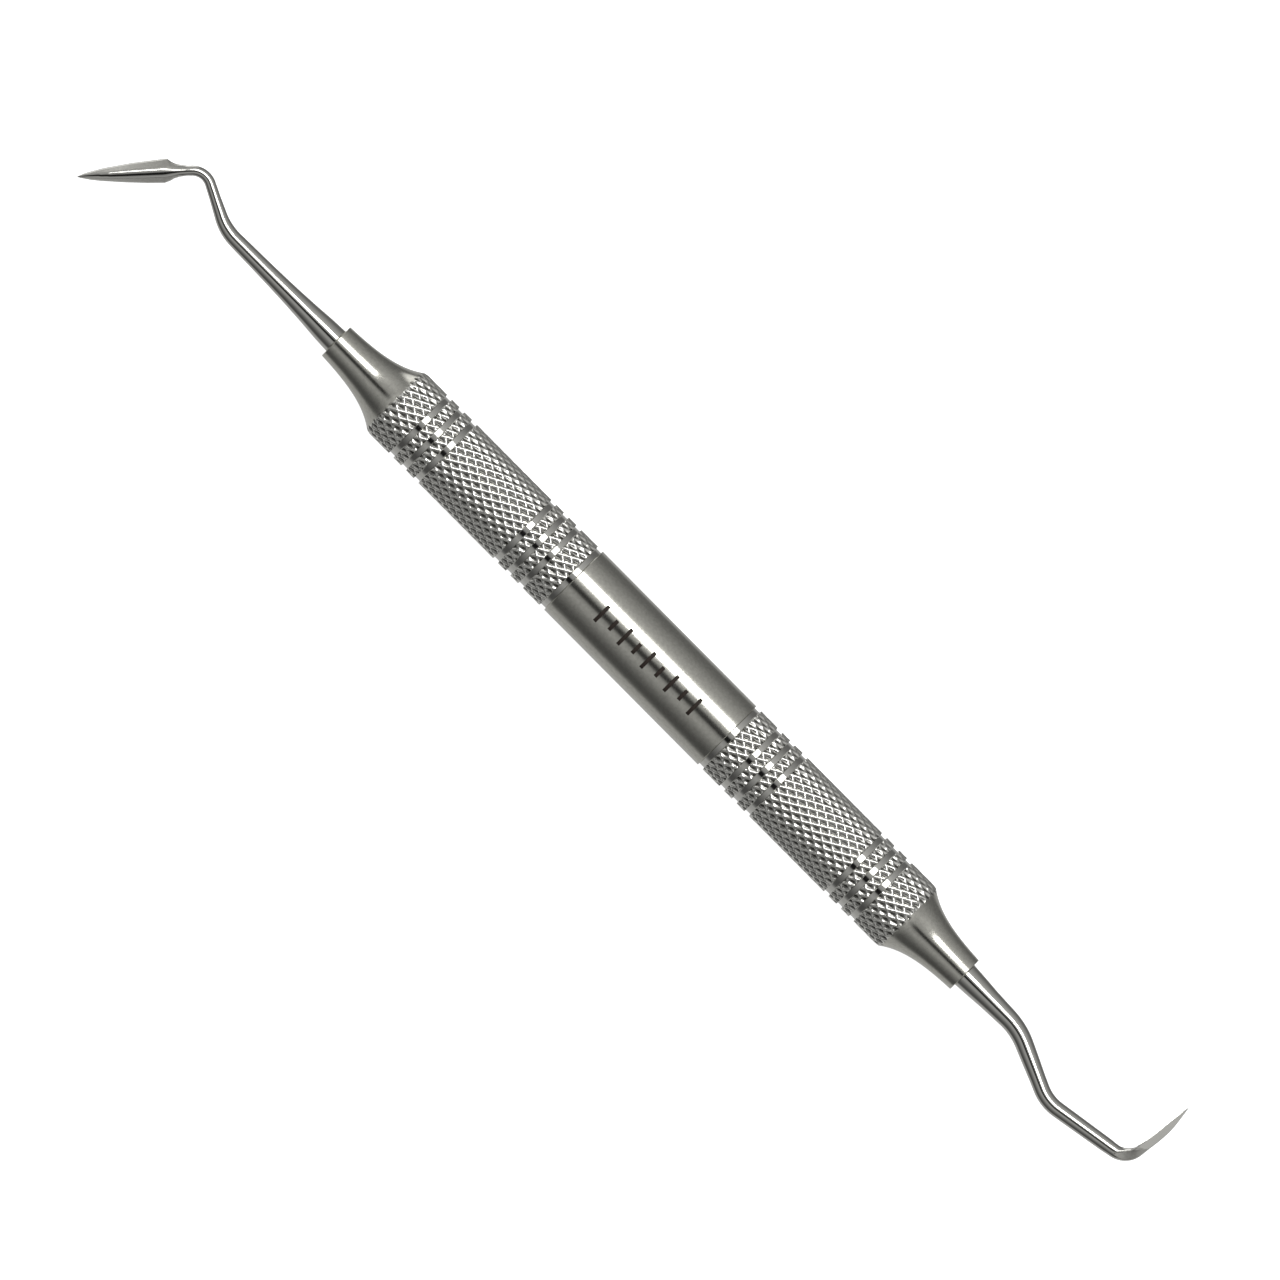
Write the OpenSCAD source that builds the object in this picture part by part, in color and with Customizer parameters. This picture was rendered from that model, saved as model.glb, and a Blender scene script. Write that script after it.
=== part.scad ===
// Double-ended dental hand instrument: a hollow round handle with a smooth centre barrel and two
// knurled grips, and a bent shank with a spear-shaped blade fixed in each end.
// The handle lies along X with its centre at the origin, and both shanks bend in the XY plane.

/* [Handle] */
// Outer diameter of the barrel and of the grips' bands
handle_d = 9.6; // [9:0.1:10.5]
// Length of the smooth barrel between the two grips
barrel_len = 25.3; // [24:0.1:26]
// Distance from the handle's centre to each cone's small end
half_handle = 51.7; // [50:0.1:53]
// Distance from the centre to the left grip's shoulder, where its cone starts
left_shoulder = 41.7; // [40:0.1:43]
// Distance from the centre to the right grip's shoulder
right_shoulder = 42.15; // [40:0.1:43]
// Diameter that the hollow-sided cones run down to
cone_d = 4.4; // [4:0.1:5]
// Length over which the cone's flare falls to about a third
cone_flare = 3.4; // [3:0.1:4]

/* [Grooves] */
// Width of each turned groove
groove_w = 0.78; // [0.5:0.02:1]
// Depth of each turned groove
groove_depth = 0.27; // [0.15:0.01:0.35]
// Spacing of the three grooves in a group
groove_pitch = 2.05; // [1.6:0.05:2.4]
// Distance from the centre to the middle groove of the inner group
inner_group = 18.6; // [17:0.1:20]
// Distance from the centre to the middle groove of the outer group
outer_group = 35.77; // [34:0.01:37]

/* [Joints inside the handle] */
// Diameter of the barrel's spigots
spigot_d = 7.4; // [7:0.1:7.5]
// Length of each spigot
spigot_len = 6; // [4:0.5:8]
// Diameter of the hollow through the barrel
barrel_bore_d = 5; // [3:0.1:5.5]
// Diameter of the hollow inside each grip, past the spigot
grip_bore_d = 7; // [5:0.1:7.2]
// Length of solid metal left between that hollow and the shoulder
end_wall = 2; // [1:0.1:4]
// Diameter of each working tip's tang
tang_d = 3; // [2.4:0.1:3]
// Length of each tang
tang_len = 12; // [11:0.5:16]

/* [Left working tip] */
// Length of the leg that leaves the handle, up to the corner of the first bend
left_root_leg = 18.15; // [17:0.05:20]
// Length of the leg between the corners of the two bends
left_middle_leg = 7.33; // [6:0.01:9]
// Length of the leg that ends at the blade's point
left_blade_leg = 14.93; // [14:0.01:17]
// Turn of the first bend, positive towards +Y
left_root_turn = 26.6; // [20:0.1:32]
// Turn of the bend before the blade
left_blade_turn = -74.8; // [-80:0.1:-60]
// Radius of the first bend
left_root_bend = 7; // [5:0.1:8]
// Radius of the bend before the blade
left_blade_bend = 2.2; // [2:0.1:2.8]

/* [Right working tip] */
// Length of the leg that leaves the handle, up to the corner of the first bend
right_root_leg = 8.86; // [8:0.01:11]
// Length of the leg between the corners of the first and second bends
right_falling_leg = 9.02; // [8:0.01:11]
// Length of the leg between the second bend's corner and the blade's
right_rising_leg = 11.48; // [10:0.01:13]
// Length of the blade's lower part, up to the middle of its slight bow
right_blade_leg = 5.03; // [5:0.01:7]
// Length of the blade's upper part, which ends at its point
right_point_leg = 4.4; // [4:0.1:5.5]
// Turn of the first bend, positive towards +Y
right_root_turn = -23.7; // [-30:0.1:-15]
// Turn of the second bend
right_middle_turn = 33; // [25:0.1:40]
// Turn of the bend before the blade
right_blade_turn = 71.8; // [60:0.1:80]
// Turn of the blade's own bow
right_bow_turn = 8.9; // [4:0.1:10]
// Radius of the first bend
right_root_bend = 9; // [7:0.5:10]
// Radius of the second bend
right_middle_bend = 5.5; // [4:0.1:7]
// Radius of the bend before the blade
right_blade_bend = 2.6; // [2.2:0.1:3]
// Radius of the blade's own bow
right_bow_bend = 20; // [10:1:22]

/* [Hidden] */
$fn = 96;

handle_r = handle_d / 2;
floor_r = handle_r - groove_depth;
half_barrel = barrel_len / 2;
// Radial clearance between a spigot or tang and its socket
slip = 0.02;
// Chamfer on the barrel's two rims
edge_break = 0.06;
// How far each cutter runs past the metal that it cuts
overrun = 1;
cone_steps = 16;
// Above 1, this crowds the cone's steps towards its shoulder, where it curves most.
cone_crowding = 1.4;
// The groove beside the barrel hides the joint, and the others lie in two groups of three.
group_grooves = [for (middle = [inner_group, outer_group], k = [-1:1]) middle + k * groove_pitch];

left_legs = [left_root_leg, left_middle_leg, left_blade_leg];
left_turns = [left_root_turn, left_blade_turn];
left_bends = [left_root_bend, left_blade_bend];
right_legs = [right_root_leg, right_falling_leg, right_rising_leg, right_blade_leg, right_point_leg];
right_turns = [right_root_turn, right_middle_turn, right_blade_turn, right_bow_turn];
right_bends = [right_root_bend, right_middle_bend, right_blade_bend, right_bow_bend];

// Shank diameter against distance from the cone's face
left_shank = [
    [0, 3.2], [2, 3.03], [4.5, 2.65], [7.4, 2.33], [10.2, 2.12], [13, 1.98],
    [16, 1.87], [18, 1.75], [20, 1.5], [22, 1.33], [25, 1.24], [28, 1.16]
];
right_shank = [
    [0, 3.2], [2, 2.95], [4, 2.65], [6, 2.47], [8, 2.31], [10, 2.22], [12.5, 2.1],
    [15, 1.93], [19, 1.88], [22, 1.83], [26, 1.75], [28, 1.66]
];
// Each blade by distance back from its point: half width to either side, then thickness, then the
// two distances between which the roof-shaped section turns into the round neck
left_blade = [
    [
        [0, 0.03], [0.9, 0.37], [3, 0.82], [6.4, 1.26], [10.5, 1.57],
        [10.9, 1.22], [11.4, 0.94], [12, 0.77], [13, 0.6]
    ],
    [
        [0, 0.03], [0.35, 0.16], [1.5, 0.44], [2.8, 0.65], [5.5, 0.95], [8.2, 1.17],
        [10.1, 1.25], [10.8, 1.03], [11.2, 0.8], [11.8, 0.65], [13, 0.53]
    ],
    [
        [0, 0.04], [0.6, 0.25], [1.6, 0.54], [2.6, 0.8], [3.6, 0.94], [5, 1],
        [7.6, 1.06], [10, 1.1], [13, 1.16]
    ],
    [9.6, 12.4]
];
right_half_width = [
    [0, 0.03], [0.9, 0.37], [3, 0.82], [6.4, 1.26],
    [8.8, 1.45], [9.3, 1.2], [9.9, 0.98], [11, 0.83]
];
right_blade = [
    right_half_width,
    right_half_width,
    [
        [0, 0.04], [0.6, 0.25], [1.6, 0.54], [2.6, 0.8], [3.6, 0.94], [5, 1],
        [6.6, 1.05], [7.7, 1.17], [8.6, 1.42], [9.6, 1.56], [11, 1.66]
    ],
    [8.2, 11]
];
// How far past its roof-shaped part the blade's own sizes hold
neck_len = 0.8;
// How blunt the roof's ridge is, as a share of its half width
ridge_blunt = 0.45;
// Thickness of the blade's two edges
cutting_edge = 0.06;
// The skin closes to a single point over this length.
point_len = 0.15;
section_sides = 24;
blade_rings = 33;
shank_rings = 34;

// Helpers for the route that each shank follows: a chain of straight legs joined by round bends
function heading(a) = [cos(a), sin(a)];
function left_of(v) = [-v[1], v[0]];
function sum_to(list, n) = n < 0 ? 0 : list[n] + sum_to(list, n - 1);
function bend_reach(turns, bends, k) =
    k < 0 || k >= len(turns) ? 0 : bends[k] * tan(abs(turns[k]) / 2);

// Lengths of the route's straight stretches and bends in turn, a straight one first
function stretch(legs, turns, bends, k) =
    k % 2 == 0
    ? legs[k / 2] - bend_reach(turns, bends, k / 2 - 1) - bend_reach(turns, bends, k / 2)
    : bends[(k - 1) / 2] * abs(turns[(k - 1) / 2]) * PI / 180;
function stretches(legs, turns, bends) = [for (k = [0:2 * len(turns)]) stretch(legs, turns, bends, k)];

// The route's point and heading after distance s, walking through the stretches from number k
function walk(legs, turns, bends, lengths, s, k = 0, at = [0, 0], angle = 0) =
    let (
        last = k == len(lengths) - 1,
        d = last ? s : min(s, lengths[k]),
        bend = k % 2 == 1,
        i = (k - 1) / 2,
        side = bend ? sign(turns[i]) : 0,
        swing = bend ? side * d / bends[i] * 180 / PI : 0,
        centre = bend ? at + side * bends[i] * left_of(heading(angle)) : at,
        next = bend
            ? centre - side * bends[i] * left_of(heading(angle + swing))
            : at + d * heading(angle)
    )
    last || s <= lengths[k]
    ? [next, angle + swing]
    : walk(legs, turns, bends, lengths, s - lengths[k], k + 1, next, angle + swing);

// Height of the roof above the blade's flat back, from 1 at the ridge to 0 at the edge, where c is
// the distance from the ridge as a share of the half width
function roof(c) =
    (sqrt(1 + pow(ridge_blunt, 2)) - sqrt(c * c + pow(ridge_blunt, 2)))
    / (sqrt(1 + pow(ridge_blunt, 2)) - ridge_blunt);
// An even rise from 0 to 1 as x goes from 0 to 1, with no corner at either end
function smooth(x) = let (u = min(max(x, 0), 1)) u * u * (3 - 2 * u);

// One section as [across, up] points, for a shank diameter d and a distance back from the point
function section(d, back, blade) =
    let (
        roof_until = blade[3][0],
        round_from = blade[3][1],
        is_round = smooth((back - roof_until) / (round_from - roof_until)),
        on_shank = smooth((back - round_from) / neck_len),
        upper = on_shank * d / 2 + (1 - on_shank) * lookup(back, blade[0]),
        lower = on_shank * d / 2 + (1 - on_shank) * lookup(back, blade[1]),
        thick = on_shank * d + (1 - on_shank) * lookup(back, blade[2]),
        rim = min(cutting_edge, thick / 2)
    )
    [for (k = [0:section_sides - 1])
        let (
            a = 360 * k / section_sides,
            across = cos(a) * (cos(a) > 0 ? upper : lower),
            level = k % (section_sides / 2) == 0,
            top = level ? rim / 2 : sin(a) > 0 ? rim + (thick - rim) * roof(abs(cos(a))) : 0
        )
        [across, is_round * sin(a) * thick / 2 + (1 - is_round) * (top - thick / 2)]
    ];

// The whole tip as one skin over its sections. The blade's width lies in the plane of the bends
// where flat is true, and square to it otherwise, with the ridge outside the last bend.
module swept_tip(legs, turns, bends, shank, blade, flat) {
    lengths = stretches(legs, turns, bends);
    total = sum_to(lengths, len(lengths) - 1);
    blade_start = total - blade[3][1] - neck_len;
    blade_end = total - point_len;
    places = concat(
        [for (k = [0:shank_rings - 1]) blade_start * k / shank_rings],
        [for (k = [0:blade_rings - 1]) blade_start + (blade_end - blade_start) * k / (blade_rings - 1)]
    );
    apex = walk(legs, turns, bends, lengths, total)[0];
    rings = [for (s = places)
        let (
            here = walk(legs, turns, bends, lengths, s),
            side = left_of(heading(here[1]))
        )
        [for (p = section(lookup(s, shank), total - s, blade))
            flat
            ? [here[0][0] + side[0] * p[0], here[0][1] + side[1] * p[0], p[1]]
            : [here[0][0] - side[0] * p[1], here[0][1] - side[1] * p[1], p[0]]
        ]
    ];
    points = concat([for (ring = rings) for (p = ring) p], [[apex[0], apex[1], 0]]);
    n = section_sides;
    sides = [for (i = [0:len(rings) - 2], k = [0:n - 1])
        [i * n + k, (i + 1) * n + k, (i + 1) * n + (k + 1) % n, i * n + (k + 1) % n]
    ];
    start = [for (k = [0:n - 1]) k];
    last = (len(rings) - 1) * n;
    finish = [for (k = [0:n - 1]) [last + k, last + n, last + (k + 1) % n]];
    polyhedron(points = points, faces = concat([start], sides, finish), convexity = 6);
}

// A ring cutter around the X axis, from x for the given width, down to radius r
module groove(x, width, r) {
    rotate([0, 90, 0])
        rotate_extrude()
            translate([r, x])
                square([groove_depth + overrun, width]);
}

// A plain cylinder along the X axis, starting at x
module rod(x, length, d) {
    translate([x, 0, 0])
        rotate([0, 90, 0])
            cylinder(h = length, d = d);
}

// The grip's outline from the barrel to the cone's small end, where the radius decays to the cone's
module grip_outline(shoulder) {
    cone_len = half_handle - shoulder;
    flare = handle_r - cone_d / 2;
    rotate([0, 90, 0])
        rotate_extrude()
            polygon(concat(
                [[0, half_barrel], [handle_r, half_barrel]],
                [for (k = [0:cone_steps])
                    let (x = cone_len * pow(k / cone_steps, cone_crowding))
                    [cone_d / 2 + flare * exp(-x / cone_flare), shoulder + x]
                ],
                [[0, half_handle]]
            ));
}

// A grip on the +X side, cut by its grooves, its socket for the barrel's spigot, its hollow and the
// hole for the tang
module grip(shoulder) {
    difference() {
        grip_outline(shoulder);
        groove(half_barrel - overrun, groove_w + overrun, floor_r);
        for (x = group_grooves) {
            groove(x - groove_w / 2, groove_w, floor_r);
        }
        rod(half_barrel - overrun, spigot_len + overrun + slip, spigot_d + 2 * slip);
        rod(half_barrel, shoulder - end_wall - half_barrel, grip_bore_d);
        rod(half_barrel, half_handle, tang_d + 2 * slip);
    }
}

module centre_barrel() {
    color([0.66, 0.66, 0.64])
        difference() {
            union() {
                rotate([0, 90, 0])
                    rotate_extrude()
                        polygon([
                            [0, -half_barrel],
                            [handle_r - edge_break, -half_barrel],
                            [handle_r, edge_break - half_barrel],
                            [handle_r, half_barrel - edge_break],
                            [handle_r - edge_break, half_barrel],
                            [0, half_barrel]
                        ]);
                rod(-half_barrel - spigot_len, barrel_len + 2 * spigot_len, spigot_d);
            }
            rod(-half_handle, 2 * half_handle, barrel_bore_d);
        }
}

module left_grip() {
    color([0.58, 0.58, 0.57])
        mirror([1, 0, 0])
            grip(left_shoulder);
}

module right_grip() {
    color([0.58, 0.58, 0.57])
        grip(right_shoulder);
}

// A working tip on the +X side: the bent shank and blade, and the tang that sits in the grip
module working_tip(legs, turns, bends, shank, blade, flat) {
    translate([half_handle, 0, 0])
        swept_tip(legs, turns, bends, shank, blade, flat);
    rod(half_handle - tang_len, tang_len + overrun, tang_d);
}

module left_working_tip() {
    color([0.74, 0.74, 0.73])
        mirror([1, 0, 0])
            working_tip(left_legs, left_turns, left_bends, left_shank, left_blade, true);
}

module right_working_tip() {
    color([0.74, 0.74, 0.73])
        working_tip(right_legs, right_turns, right_bends, right_shank, right_blade, false);
}

centre_barrel();
left_grip();
right_grip();
left_working_tip();
right_working_tip();
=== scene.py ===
"""Looks for a double-ended dental hand instrument: knurled grips, turned grooves, polished bent tips.

Shapes are worked out in millimetres, in the part's own frame, and become metres when a mesh is made.
"""
import math

import bpy
import numpy as np
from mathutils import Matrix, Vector


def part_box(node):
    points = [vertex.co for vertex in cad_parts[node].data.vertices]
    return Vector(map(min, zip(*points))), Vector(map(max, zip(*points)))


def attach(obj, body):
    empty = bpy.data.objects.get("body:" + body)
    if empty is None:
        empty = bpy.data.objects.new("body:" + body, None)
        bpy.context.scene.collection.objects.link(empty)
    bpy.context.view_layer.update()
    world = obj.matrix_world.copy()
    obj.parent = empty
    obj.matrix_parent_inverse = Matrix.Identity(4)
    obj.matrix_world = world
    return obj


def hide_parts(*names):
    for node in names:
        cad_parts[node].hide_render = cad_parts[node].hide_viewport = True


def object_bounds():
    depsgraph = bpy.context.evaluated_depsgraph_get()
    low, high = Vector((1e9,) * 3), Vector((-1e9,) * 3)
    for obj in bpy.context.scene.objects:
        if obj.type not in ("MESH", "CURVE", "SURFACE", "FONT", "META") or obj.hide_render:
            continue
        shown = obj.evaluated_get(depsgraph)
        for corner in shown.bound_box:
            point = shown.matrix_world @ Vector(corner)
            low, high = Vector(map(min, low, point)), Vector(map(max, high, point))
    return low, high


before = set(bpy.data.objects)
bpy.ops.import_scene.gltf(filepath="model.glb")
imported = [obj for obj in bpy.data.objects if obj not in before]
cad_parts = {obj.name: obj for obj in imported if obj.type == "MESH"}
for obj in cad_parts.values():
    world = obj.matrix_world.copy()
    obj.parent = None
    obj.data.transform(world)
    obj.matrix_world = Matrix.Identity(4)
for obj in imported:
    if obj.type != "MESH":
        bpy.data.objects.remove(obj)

cad_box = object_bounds()

MM = 0.001
TURN = 2 * math.pi

# ---------------------------------------------------------------- sizes, in millimetres
grip_low, grip_high = (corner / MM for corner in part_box("right_grip"))
barrel_low, barrel_high = (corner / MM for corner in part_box("centre_barrel"))
HANDLE_R = grip_high.z
HALF_BARREL = grip_low.x
HALF_HANDLE = grip_high.x
SPIGOT_END = barrel_high.x

# Turned shapes
LATHE_SIDES = 240
BARREL_CHAMFER = 0.07
BARREL_BORE_R = 2.5
SPIGOT_R = 3.7
SPIGOT_LEAD = (0.03, 0.15)
SOCKET_R = 3.72
GRIP_BORE_R = 3.5
TANG_R = 1.5
TANG_HOLE_R = 1.52
TANG_LEN = 12
END_WALL = 2
SHOULDER = {"left": 41.7, "right": 42.15}
CONE_R = 2.2
CONE_FLARE = 3.4
# Rings on the cone, out from its shoulder: a few close ones, then even steps out to its rim
CONE_FIRST = (0.45, 0.6, 0.8, 1.05)
CONE_STEPS = 40
RIM_START = 0.12
# The cone's rounded rim: how far in from the handle's end, and how far down from the cone
CONE_RIM = ((0.07, 0.005), (0.02, 0.03), (0, 0.08), (0, 0.2))
# Distance between the extra rings that keep smooth shading off a flat face
GUARD = 0.1

# Grooves: where each one's middle is, from the handle's centre
GROOVE_W = 0.78
GROOVE_DEPTH = 0.27
FLOOR_R = HANDLE_R - GROOVE_DEPTH
GROOVE_PITCH = 2.05
GROOVE_GROUPS = (18.6, 35.77)
GROOVE_FILLET = 0.12
FILLET_SHARES = (0, 0.07, 0.2, 0.4, 0.65, 1)
FLOOR_MARGIN = 0.04
RIM_STEP = 0.004
RIM_CHAMFER = 0.05

# Knurl: two families of ridges, each with its turns round the handle and its ridges per millimetre
KNURL_A = (30, 0.624)
KNURL_B = (25, 0.573)
KNURL_DEPTH = 0.26
RIDGE_A_TOP, RIDGE_B_TOP = 0.055, 0.03
RIDGE_SIDE = 0.25
RIDGE_B_DIP = 0.18
# The knurl's crests round off and end just past the shoulder
CREST_DROP = 0.08
CREST_ROUND = 0.5
KNURL_RUNOUT = 0.34
# Grid lines across one ridge spacing of each family, close together on the ridge's flanks
KNURL_STEPS = (0, 0.06, 0.17, 0.34, 0.66, 0.83, 0.94)

# Working tips: route legs, turns in degrees and bend radii, as in the CAD model
LEFT_ROUTE = ((18.15, 7.33, 14.93), (26.6, -74.8), (7, 2.2))
RIGHT_ROUTE = ((8.86, 9.02, 11.48, 5.03, 4.4), (-23.7, 33, 71.8, 8.9), (9, 5.5, 2.6, 20))
LEFT_SHANK = (
    (0, 3.2), (2, 3.03), (4.5, 2.65), (7.4, 2.33), (10.2, 2.12), (13, 1.98),
    (16, 1.87), (18, 1.75), (20, 1.5), (22, 1.33), (25, 1.24), (28, 1.16),
)
RIGHT_SHANK = (
    (0, 3.2), (2, 2.95), (4, 2.65), (6, 2.47), (8, 2.31), (10, 2.22), (12.5, 2.1),
    (15, 1.93), (19, 1.88), (22, 1.83), (26, 1.75), (28, 1.66),
)
# Each blade by distance back from its point: half widths above and below, and thickness
LEFT_UPPER = (
    (0, 0.03), (0.9, 0.37), (3, 0.82), (6.4, 1.26), (10.5, 1.57),
    (10.9, 1.22), (11.4, 0.94), (12, 0.77), (13, 0.6),
)
LEFT_LOWER = (
    (0, 0.03), (0.35, 0.16), (1.5, 0.44), (2.8, 0.65), (5.5, 0.95), (8.2, 1.17),
    (10.1, 1.25), (10.8, 1.03), (11.2, 0.8), (11.8, 0.65), (13, 0.53),
)
LEFT_THICK = (
    (0, 0.04), (0.6, 0.25), (1.6, 0.54), (2.6, 0.8), (3.6, 0.94), (5, 1),
    (7.6, 1.06), (10, 1.1), (13, 1.16),
)
RIGHT_HALF = (
    (0, 0.03), (0.9, 0.37), (3, 0.82), (6.4, 1.26),
    (7.3, 1.34), (7.9, 1.2), (8.6, 0.98), (9.4, 0.86), (11, 0.83),
)
RIGHT_THICK = (
    (0, 0.04), (0.6, 0.25), (1.6, 0.54), (2.6, 0.8), (3.6, 0.94), (5, 1),
    (6.6, 1.05), (7.7, 1.17), (8.6, 1.42), (9.6, 1.56), (11, 1.66),
)
NECK_LEN = 0.8
# Where each blade turns into its round shank, back from its point: ridged until, round from, neck from
BLEND = {"left": (9.6, 12.4, 12.4), "right": (7.3, 9.0, 11)}
# How far the outlines' corners are softened
WIDTH_EASE = 0.12
THICK_EASE = 0.2
SHANK_EASE = 0.35
EASE_SAMPLES = 9
EASE_FALL = 0.9
# Each blade's section: thickness at its edges, width of the edge faces, and where the bevels start
CUTTING_EDGE = 0.04
EDGE_FACE = 0.13
BEVEL_RIM = 0.2
# Each blade's rounded ridge: half width 10 mm back from the point, how it narrows, slope at its sides
RIDGE = {"left": (0.6, 0.35, 0.4), "right": (0.42, 0.6, 0.28)}
RIDGE_FROM = 10
# The ridge takes at most this share of a half width, on the blade and at its heel
RIDGE_SHARE = 0.55
HEEL_SHARE = 0.8
HEEL_FROM = 8
# The right blade's bevels run on into its last bend, to a line across it where the wheel stopped
FACET_FROM = 6.8
FACET_EASE = 2.8
FACET_SLOPE = 0.22
FACET_END = (27.3, -1.7)
FACET_LEAN = -37
FACET_RAMP = 0.15
FACET_REACH = 5
# How far back from its point each blade is matte from the wheel
GROUND_TO = {"left": 11.7, "right": 8.4}
POINT_LEN = 0.08
EDGE_STEPS, BEVEL_STEPS, RIDGE_STEPS = 2, 10, 12
TIP_SIDES = 4 * (EDGE_STEPS + BEVEL_STEPS + RIDGE_STEPS)
RIDGE_SINE = math.sqrt(0.5)
SHANK_STEP = 0.14
BLADE_STEP = 0.06

# Etched marks: plain ticks in place of any lettering
TICK_COUNT = 9
TICK_PITCH = 1.9
TICK_W = 0.46
TICK_TALL = 2.5
TICK_SHORT = 1.5
TICK_MIDDLE_Y = -0.38
TICK_HEIGHT = 0.004
TICK_COLUMNS, TICK_ROWS = 3, 10

# Sockets of Blender's colour mix node, which shares its names between types
MIX_FACTOR, MIX_FIRST, MIX_SECOND = 0, 6, 7
MIX_RESULT = 2


# ---------------------------------------------------------------- materials
def new_material(name):
    material = bpy.data.materials.new(name)
    material.use_nodes = True
    nodes = material.node_tree.nodes
    nodes.clear()
    output = nodes.new("ShaderNodeOutputMaterial")
    shader = nodes.new("ShaderNodeBsdfPrincipled")
    material.node_tree.links.new(shader.outputs["BSDF"], output.inputs["Surface"])
    return material, nodes, material.node_tree.links, shader


def scaled_position(nodes, links, scale):
    """Object coordinates stretched by scale, in features per metre along each axis."""
    place = nodes.new("ShaderNodeTexCoord")
    mapping = nodes.new("ShaderNodeMapping")
    mapping.inputs["Scale"].default_value = scale
    links.new(place.outputs["Object"], mapping.inputs["Vector"])
    return mapping.outputs["Vector"]


def noise(nodes, links, scale, roughness=0.6):
    texture = nodes.new("ShaderNodeTexNoise")
    texture.inputs["Scale"].default_value = 1.0
    texture.inputs["Detail"].default_value = 3.0
    texture.inputs["Roughness"].default_value = roughness
    links.new(scaled_position(nodes, links, scale), texture.inputs["Vector"])
    return texture.outputs["Fac"]


def remap(nodes, links, value, low, high):
    """Value from 0..1 to low..high."""
    ranged = nodes.new("ShaderNodeMapRange")
    ranged.inputs["To Min"].default_value = low
    ranged.inputs["To Max"].default_value = high
    links.new(value, ranged.inputs["Value"])
    return ranged.outputs["Result"]


def mix_colour(nodes, links, factor, first, second):
    """From first to second by factor. Each of them is a plain colour or another node's socket."""
    mix = nodes.new("ShaderNodeMix")
    mix.data_type = "RGBA"
    links.new(factor, mix.inputs[MIX_FACTOR])
    for socket, colour in ((MIX_FIRST, first), (MIX_SECOND, second)):
        if isinstance(colour, tuple):
            mix.inputs[socket].default_value = (*colour, 1)
        else:
            links.new(colour, mix.inputs[socket])
    return mix.outputs[MIX_RESULT]


def bump(nodes, links, height, distance):
    node = nodes.new("ShaderNodeBump")
    node.inputs["Strength"].default_value = 1.0
    node.inputs["Distance"].default_value = distance
    links.new(height, node.inputs["Height"])
    return node.outputs["Normal"]


def steel(name, dark, light, rough, grain_scale, grain_height, cloud=400.0):
    """Bare stainless steel: its colour and roughness drift in soft clouds, and its grain is real bump."""
    material, nodes, links, shader = new_material(name)
    shader.inputs["Metallic"].default_value = 1.0
    clouds = noise(nodes, links, (cloud, cloud, cloud), 0.5)
    links.new(mix_colour(nodes, links, clouds, dark, light), shader.inputs["Base Color"])
    grain = noise(nodes, links, grain_scale)
    links.new(remap(nodes, links, grain, rough[0], rough[1]), shader.inputs["Roughness"])
    links.new(bump(nodes, links, grain, grain_height), shader.inputs["Normal"])
    return material


def satin_steel():
    return steel(
        "satin_turned_steel", (0.50, 0.492, 0.448), (0.72, 0.712, 0.647), (0.12, 0.23),
        (9000, 5000, 5000), 1.4e-6, 2600.0,
    )


def polished_steel():
    return steel(
        "polished_steel", (0.62, 0.615, 0.58), (0.68, 0.675, 0.635), (0.05, 0.11),
        (3000, 3000, 3000), 2e-8,
    )


def ground_steel():
    """The blades' bevels, matte and faintly cross-hatched by the grinding wheel."""
    return steel(
        "ground_steel", (0.43, 0.43, 0.40), (0.65, 0.64, 0.60), (0.34, 0.48),
        (8000, 8000, 8000), 2e-6, 3500.0,
    )


def knurled_steel():
    """Knurled steel whose colour follows the knurl's depth: painted pale on the ridge tops and painted
    dark in the pits, as painted shade in the recesses.
    """
    material, nodes, links, shader = new_material("knurled_steel")
    shader.inputs["Metallic"].default_value = 1.0
    pit = nodes.new("ShaderNodeAttribute")
    pit.attribute_name = "pit"
    grain = noise(nodes, links, (9000, 9000, 9000))
    # Painted shade in the pits: past a third of the way down, the deeper a place is, the darker it is
    # painted
    painted_pit_shade = nodes.new("ShaderNodeMapRange")
    painted_pit_shade.inputs["From Min"].default_value = 0.35
    links.new(pit.outputs["Fac"], painted_pit_shade.inputs["Value"])
    # Painted shade: the colour runs from pale on the ridges to near black on the pits' floors
    links.new(
        mix_colour(nodes, links, painted_pit_shade.outputs["Result"], (0.86, 0.855, 0.81), (0.13, 0.128, 0.118)),
        shader.inputs["Base Color"],
    )
    links.new(remap(nodes, links, pit.outputs["Fac"], 0.13, 0.30), shader.inputs["Roughness"])
    links.new(bump(nodes, links, grain, 6e-7), shader.inputs["Normal"])
    return material


def etched_steel():
    material, nodes, links, shader = new_material("etched_mark")
    shader.inputs["Metallic"].default_value = 0.3
    shader.inputs["Specular IOR Level"].default_value = 0.3
    grain = noise(nodes, links, (6000, 6000, 6000))
    links.new(
        mix_colour(nodes, links, grain, (0.008, 0.006, 0.005), (0.05, 0.036, 0.028)),
        shader.inputs["Base Color"],
    )
    links.new(remap(nodes, links, grain, 0.45, 0.7), shader.inputs["Roughness"])
    links.new(bump(nodes, links, grain, 2e-6), shader.inputs["Normal"])
    return material


SATIN = satin_steel()
POLISHED = polished_steel()
GROUND = ground_steel()
KNURLED = knurled_steel()
ETCHED = etched_steel()


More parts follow.
